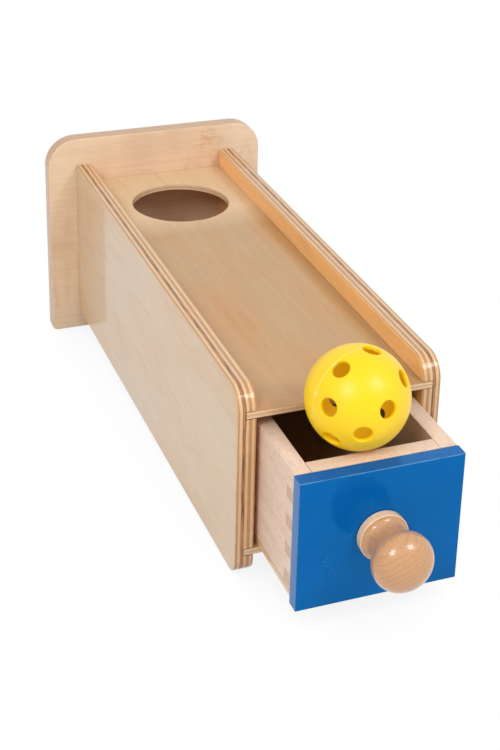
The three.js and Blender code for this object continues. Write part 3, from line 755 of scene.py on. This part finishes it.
class DRAWERBOX_OT_front(Operator):
    """Finish the blue front and its screws, and turn the knob"""
    bl_idname = "drawerbox.front"
    bl_label = "Front and knob"

    def execute(self, context):
        finish_node("drawer_front_panel", sprayed_blue_lacquer(context.scene.drawer))
        steel = zinc_plated_steel(context.scene.drawer)
        for node in ("knob_screw", "front_screw_left", "front_screw_right"):
            finish_node(node, steel)
        knob = context.scene.knob
        seat = knob_seat()
        piece = new_piece("turned_knob", self.turned_mesh(knob, seat * MM), "drawer", "turned_beech", "knob")
        piece.data.materials.append(turned_beech(knob, seat))
        return {"FINISHED"}

    def profile(self, knob):
        """The knob's outline as pairs of radius and place along its axis, from the tip to the seat."""
        head_steps, cove_steps, edge_steps = 40, 20, 6
        # The head is an ellipse that runs past its widest place to where the cove starts.
        tip = -math.pi / 2
        cove_start = math.radians(42)
        points = []
        for step in range(head_steps + 1):
            angle = tip + (cove_start - tip) * step / head_steps
            points.append((
                knob.head_diameter / 2 * math.cos(angle),
                -knob.head_centre + knob.head_half_length * math.sin(angle)))
        # The cove is one smooth curve by way of the neck to the flange.
        start = Vector(points[-1])
        flange_edge = knob.flange_diameter / 2 - knob.flange_round
        end = Vector((flange_edge, -knob.flange))
        quarter = (end.y - start.y) / 4
        throat = knob.neck_diameter / 2 - knob.flange_round
        first = Vector((throat, start.y + quarter))
        second = Vector((throat, end.y - quarter / 3))
        for step in range(1, cove_steps + 1):
            t = step / cove_steps
            points.append(tuple(
                start * (1 - t) ** 3 + first * 3 * t * (1 - t) ** 2
                + second * 3 * t ** 2 * (1 - t) + end * t ** 3))
        for step in range(1, edge_steps + 1):
            angle = math.pi / 2 * (step / edge_steps - 1)
            points.append((
                flange_edge + knob.flange_round * math.cos(angle),
                -knob.flange + knob.flange_round * (1 + math.sin(angle))))
        points.append((knob.flange_diameter / 2, -knob.flange_round / 2))
        points.append((knob.flange_diameter / 2 - knob.flange_round / 2, 0.0))
        points.append((0.0, 0.0))
        return points

    def turned_mesh(self, knob, seat):
        """The outline turned round the knob's axis."""
        work = bmesh.new()
        outline = [work.verts.new((radius, along, 0.0)) for radius, along in self.profile(knob)]
        edges = [work.edges.new(pair) for pair in zip(outline, outline[1:])]
        bmesh.ops.spin(
            work, geom=outline + edges, cent=(0, 0, 0), axis=(0, 1, 0), angle=2 * math.pi, steps=knob.turns,
            use_merge=True)
        bmesh.ops.remove_doubles(work, verts=work.verts, dist=WELD)
        bmesh.ops.translate(work, verts=work.verts, vec=seat)
        bmesh.ops.transform(work, matrix=TO_SLOPE.to_4x4(), verts=work.verts)
        return finished_mesh("turned_knob", work)


class DRAWERBOX_OT_ball(Operator):
    """Mould the perforated ball"""
    bl_idname = "drawerbox.ball"
    bl_label = "Ball"

    def execute(self, context):
        settings = context.scene.ball
        low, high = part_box("ball")
        centre = (low + high) / 2
        mesh = self.pierced_shell(settings, (high.z - low.z) / 2)
        mesh.transform(Matrix.Translation(centre))
        mesh.materials.append(moulded_yellow_plastic(settings, TO_LEVEL @ centre / MM))
        mesh.materials.append(blown_plastic_inside(settings))
        new_piece("perforated_ball", mesh, "ball", "yellow_plastic", "ball")
        return {"FINISHED"}

    def pierced_shell(self, settings, radius):
        """An outer and an inner skin with round holes, joined at each hole by a rounded rim."""
        outer_detail, inner_detail = 6, 5
        axes = [(TO_SLOPE @ Vector(axis)).normalized() for axis in PERFORATIONS]
        hole = settings.perforation / 2
        work = bmesh.new()
        outer_loops = self.skin(work, radius, hole + settings.rim, axes, outer_detail)
        outer_faces = set(work.faces)
        inner_loops = self.skin(work, radius - settings.wall, hole, axes, inner_detail)
        inner_faces = set(work.faces) - outer_faces
        for axis, outer, inner in zip(axes, outer_loops, inner_loops):
            foot = self.rim(work, axis, outer, radius, hole, settings.rim)
            bmesh.ops.bridge_loops(work, edges=foot + inner)
        for face in work.faces:
            face.material_index = 1 if face in inner_faces else 0
        return finished_mesh("perforated_ball", work)

    def skin(self, work, radius, hole, axes, detail):
        """A fine sphere with round holes about the axes. Returns the edges of each hole."""
        verts = bmesh.ops.create_icosphere(work, subdivisions=detail, radius=radius)["verts"]
        faces = dict.fromkeys(face for vert in verts for face in vert.link_faces)
        reach = math.cos(math.asin(hole / radius))
        gone = [f for f in faces if any(f.calc_center_median().normalized().dot(a) > reach for a in axes)]
        bmesh.ops.delete(work, geom=gone, context="FACES")
        loops = [[] for _ in axes]
        for vert in [v for v in verts if v.is_valid and v.is_boundary]:
            number = max(range(len(axes)), key=lambda i: vert.co.dot(axes[i]))
            axis = axes[number]
            outward = (vert.co - axis * vert.co.dot(axis)).normalized()
            vert.co = outward * hole + axis * math.sqrt(radius ** 2 - hole ** 2)
            loops[number] += [edge for edge in vert.link_edges if edge.is_boundary]
        return [list(dict.fromkeys(edges)) for edges in loops]

    def rim(self, work, axis, edges, radius, hole, rounding):
        """Carries the edge of a hole round a quarter circle. Returns the edges that it ends on."""
        rim_steps = 4
        top = math.sqrt(radius ** 2 - (hole + rounding) ** 2)
        for step in range(1, rim_steps + 1):
            angle = math.pi / 2 * step / rim_steps
            reach = hole + rounding * (1 - math.sin(angle))
            along = top - rounding * (1 - math.cos(angle))
            grown = bmesh.ops.extrude_edge_only(work, edges=edges)["geom"]
            edges = [part for part in grown if isinstance(part, bmesh.types.BMEdge) and part.is_boundary]
            for vert in {vert for edge in edges for vert in edge.verts}:
                outward = (vert.co - axis * vert.co.dot(axis)).normalized()
                vert.co = outward * reach + axis * along
        return edges


class DRAWERBOX_OT_stage(Operator):
    """Set the white floor, the two softboxes, the even light and the camera"""
    bl_idname = "drawerbox.stage"
    bl_label = "Stage"

    def execute(self, context):
        scene = context.scene
        settings = scene.stage
        scene.view_settings.view_transform = "Standard"
        self.lay_floor(scene, settings)
        self.light_evenly(scene, settings)
        camera = self.place_camera(scene, settings)
        # Each softbox stands this far right, up and back of the object as the camera sees it, in metres.
        left, right = Vector((-0.59, 0.5, 1.4)), Vector((0.96, 0.73, 1.05))
        self.hang_softbox(scene, settings, camera, "left_softbox", left, settings.key_power)
        self.hang_softbox(scene, settings, camera, "right_softbox", right, settings.fill_power)
        return {"FINISHED"}

    def lay_floor(self, scene, settings):
        """A white floor that keeps the object's soft contact shadow."""
        mesh = bpy.data.meshes.new("floor")
        half = 3.0
        corners = [(-half, -half, 0), (half, -half, 0), (half, half, 0), (-half, half, 0)]
        mesh.from_pydata(corners, [], [(0, 1, 2, 3)])
        floor = bpy.data.objects.new("floor", mesh)
        floor.location.z = CAD_BOX[0][2]
        scene.collection.objects.link(floor)
        material = bpy.data.materials.new("white_studio_floor")
        tree = empty_tree(material)
        paint = add_node(tree, "ShaderNodeBsdfDiffuse", {"Color": rgba(settings.floor_paint)})
        nearby = add_node(
            tree, "ShaderNodeAmbientOcclusion", {"Distance": settings.shadow_reach}, samples=16)
        openness = (nearby.outputs["AO"], 0.1, 0.6, 0.84, 1.0)
        shaded = stained(tree, rgba(settings.floor_shadow), rgba(settings.floor), openness)
        white = add_node(tree, "ShaderNodeEmission", {"Color": shaded, "Strength": 1.0})
        either = add_node(tree, "ShaderNodeMixShader", {
            0: self.seen_directly(tree), 1: paint.outputs[0], 2: white.outputs[0]})
        add_node(tree, "ShaderNodeOutputMaterial", {"Surface": either.outputs[0]})
        mesh.materials.append(material)

    def seen_directly(self, tree):
        """One where the camera, a reflection or a view through something meets the surface, else nought."""
        path = add_node(tree, "ShaderNodeLightPath")
        rays = [path.outputs[f"Is {kind} Ray"] for kind in ("Camera", "Glossy", "Transmission")]
        return pattern_value(tree, *rays, join="MAXIMUM")

    def light_evenly(self, scene, settings):
        """Even light from all round, white where the camera or a reflection sees it."""
        world = bpy.data.worlds.new("white_studio")
        tree = empty_tree(world)
        white = (1.0, 1.0, 1.0, 1.0)
        even = add_node(tree, "ShaderNodeBackground", {"Color": white, "Strength": settings.daylight})
        seen = add_node(tree, "ShaderNodeBackground", {"Color": white, "Strength": 1.0})
        either = add_node(tree, "ShaderNodeMixShader", {
            0: self.seen_directly(tree), 1: even.outputs[0], 2: seen.outputs[0]})
        add_node(tree, "ShaderNodeOutputWorld", {"Surface": either.outputs[0]})
        scene.world = world

    def place_camera(self, scene, settings):
        """The camera at the photograph's viewing angle, almost upright."""
        data = bpy.data.cameras.new("camera")
        data.lens = settings.lens
        data.shift_y = settings.rise
        camera = bpy.data.objects.new("camera", data)
        camera.location = settings.camera_place
        away = Vector(settings.camera_place) - Vector(settings.camera_target)
        upright = away.to_track_quat("Z", "Y").to_matrix()
        camera.rotation_euler = (upright @ Matrix.Rotation(settings.roll, 3, "Z")).to_euler()
        scene.collection.objects.link(camera)
        scene.camera = camera
        return camera

    def hang_softbox(self, scene, settings, camera, name, place, power):
        """A square softbox beside the camera, turned to the object."""
        data = bpy.data.lights.new(name, "AREA")
        data.energy = power
        data.size = settings.softbox
        light = bpy.data.objects.new(name, data)
        from_aim = camera.rotation_euler.to_matrix() @ place
        light.location = Vector(settings.camera_target) + from_aim
        light.rotation_euler = from_aim.to_track_quat("Z", "Y").to_euler()
        scene.collection.objects.link(light)


OPERATORS = (
    DRAWERBOX_OT_carcass, DRAWERBOX_OT_drawer, DRAWERBOX_OT_front, DRAWERBOX_OT_ball, DRAWERBOX_OT_stage)
SETTINGS = {
    "carcass": CarcassSettings, "drawer": DrawerSettings, "knob": KnobSettings, "ball": BallSettings,
    "stage": StageSettings}


class DRAWERBOX_PT_sidebar(Panel):
    """The drawer box's settings and steps"""
    bl_idname = "DRAWERBOX_PT_sidebar"
    bl_label = "Drawer box"
    bl_space_type = "VIEW_3D"
    bl_region_type = "UI"
    bl_category = "Drawer box"

    def draw(self, context):
        for operator in OPERATORS:
            self.layout.operator(operator.bl_idname)
        for name, group in SETTINGS.items():
            column = self.layout.column(heading=name.capitalize())
            for setting in group.__annotations__:
                column.prop(getattr(context.scene, name), setting)


def register():
    for group in SETTINGS.values():
        bpy.utils.register_class(group)
    for name, group in SETTINGS.items():
        setattr(bpy.types.Scene, name, PointerProperty(type=group))
    for item in (*OPERATORS, DRAWERBOX_PT_sidebar):
        bpy.utils.register_class(item)


def unregister():
    for item in reversed((*OPERATORS, DRAWERBOX_PT_sidebar)):
        bpy.utils.unregister_class(item)
    for name, group in SETTINGS.items():
        delattr(bpy.types.Scene, name)
        bpy.utils.unregister_class(group)


def main():
    register()
    bpy.ops.drawerbox.carcass()
    bpy.ops.drawerbox.drawer()
    bpy.ops.drawerbox.front()
    bpy.ops.drawerbox.ball()
    bpy.ops.drawerbox.stage()


if __name__ == "__main__":
    main()
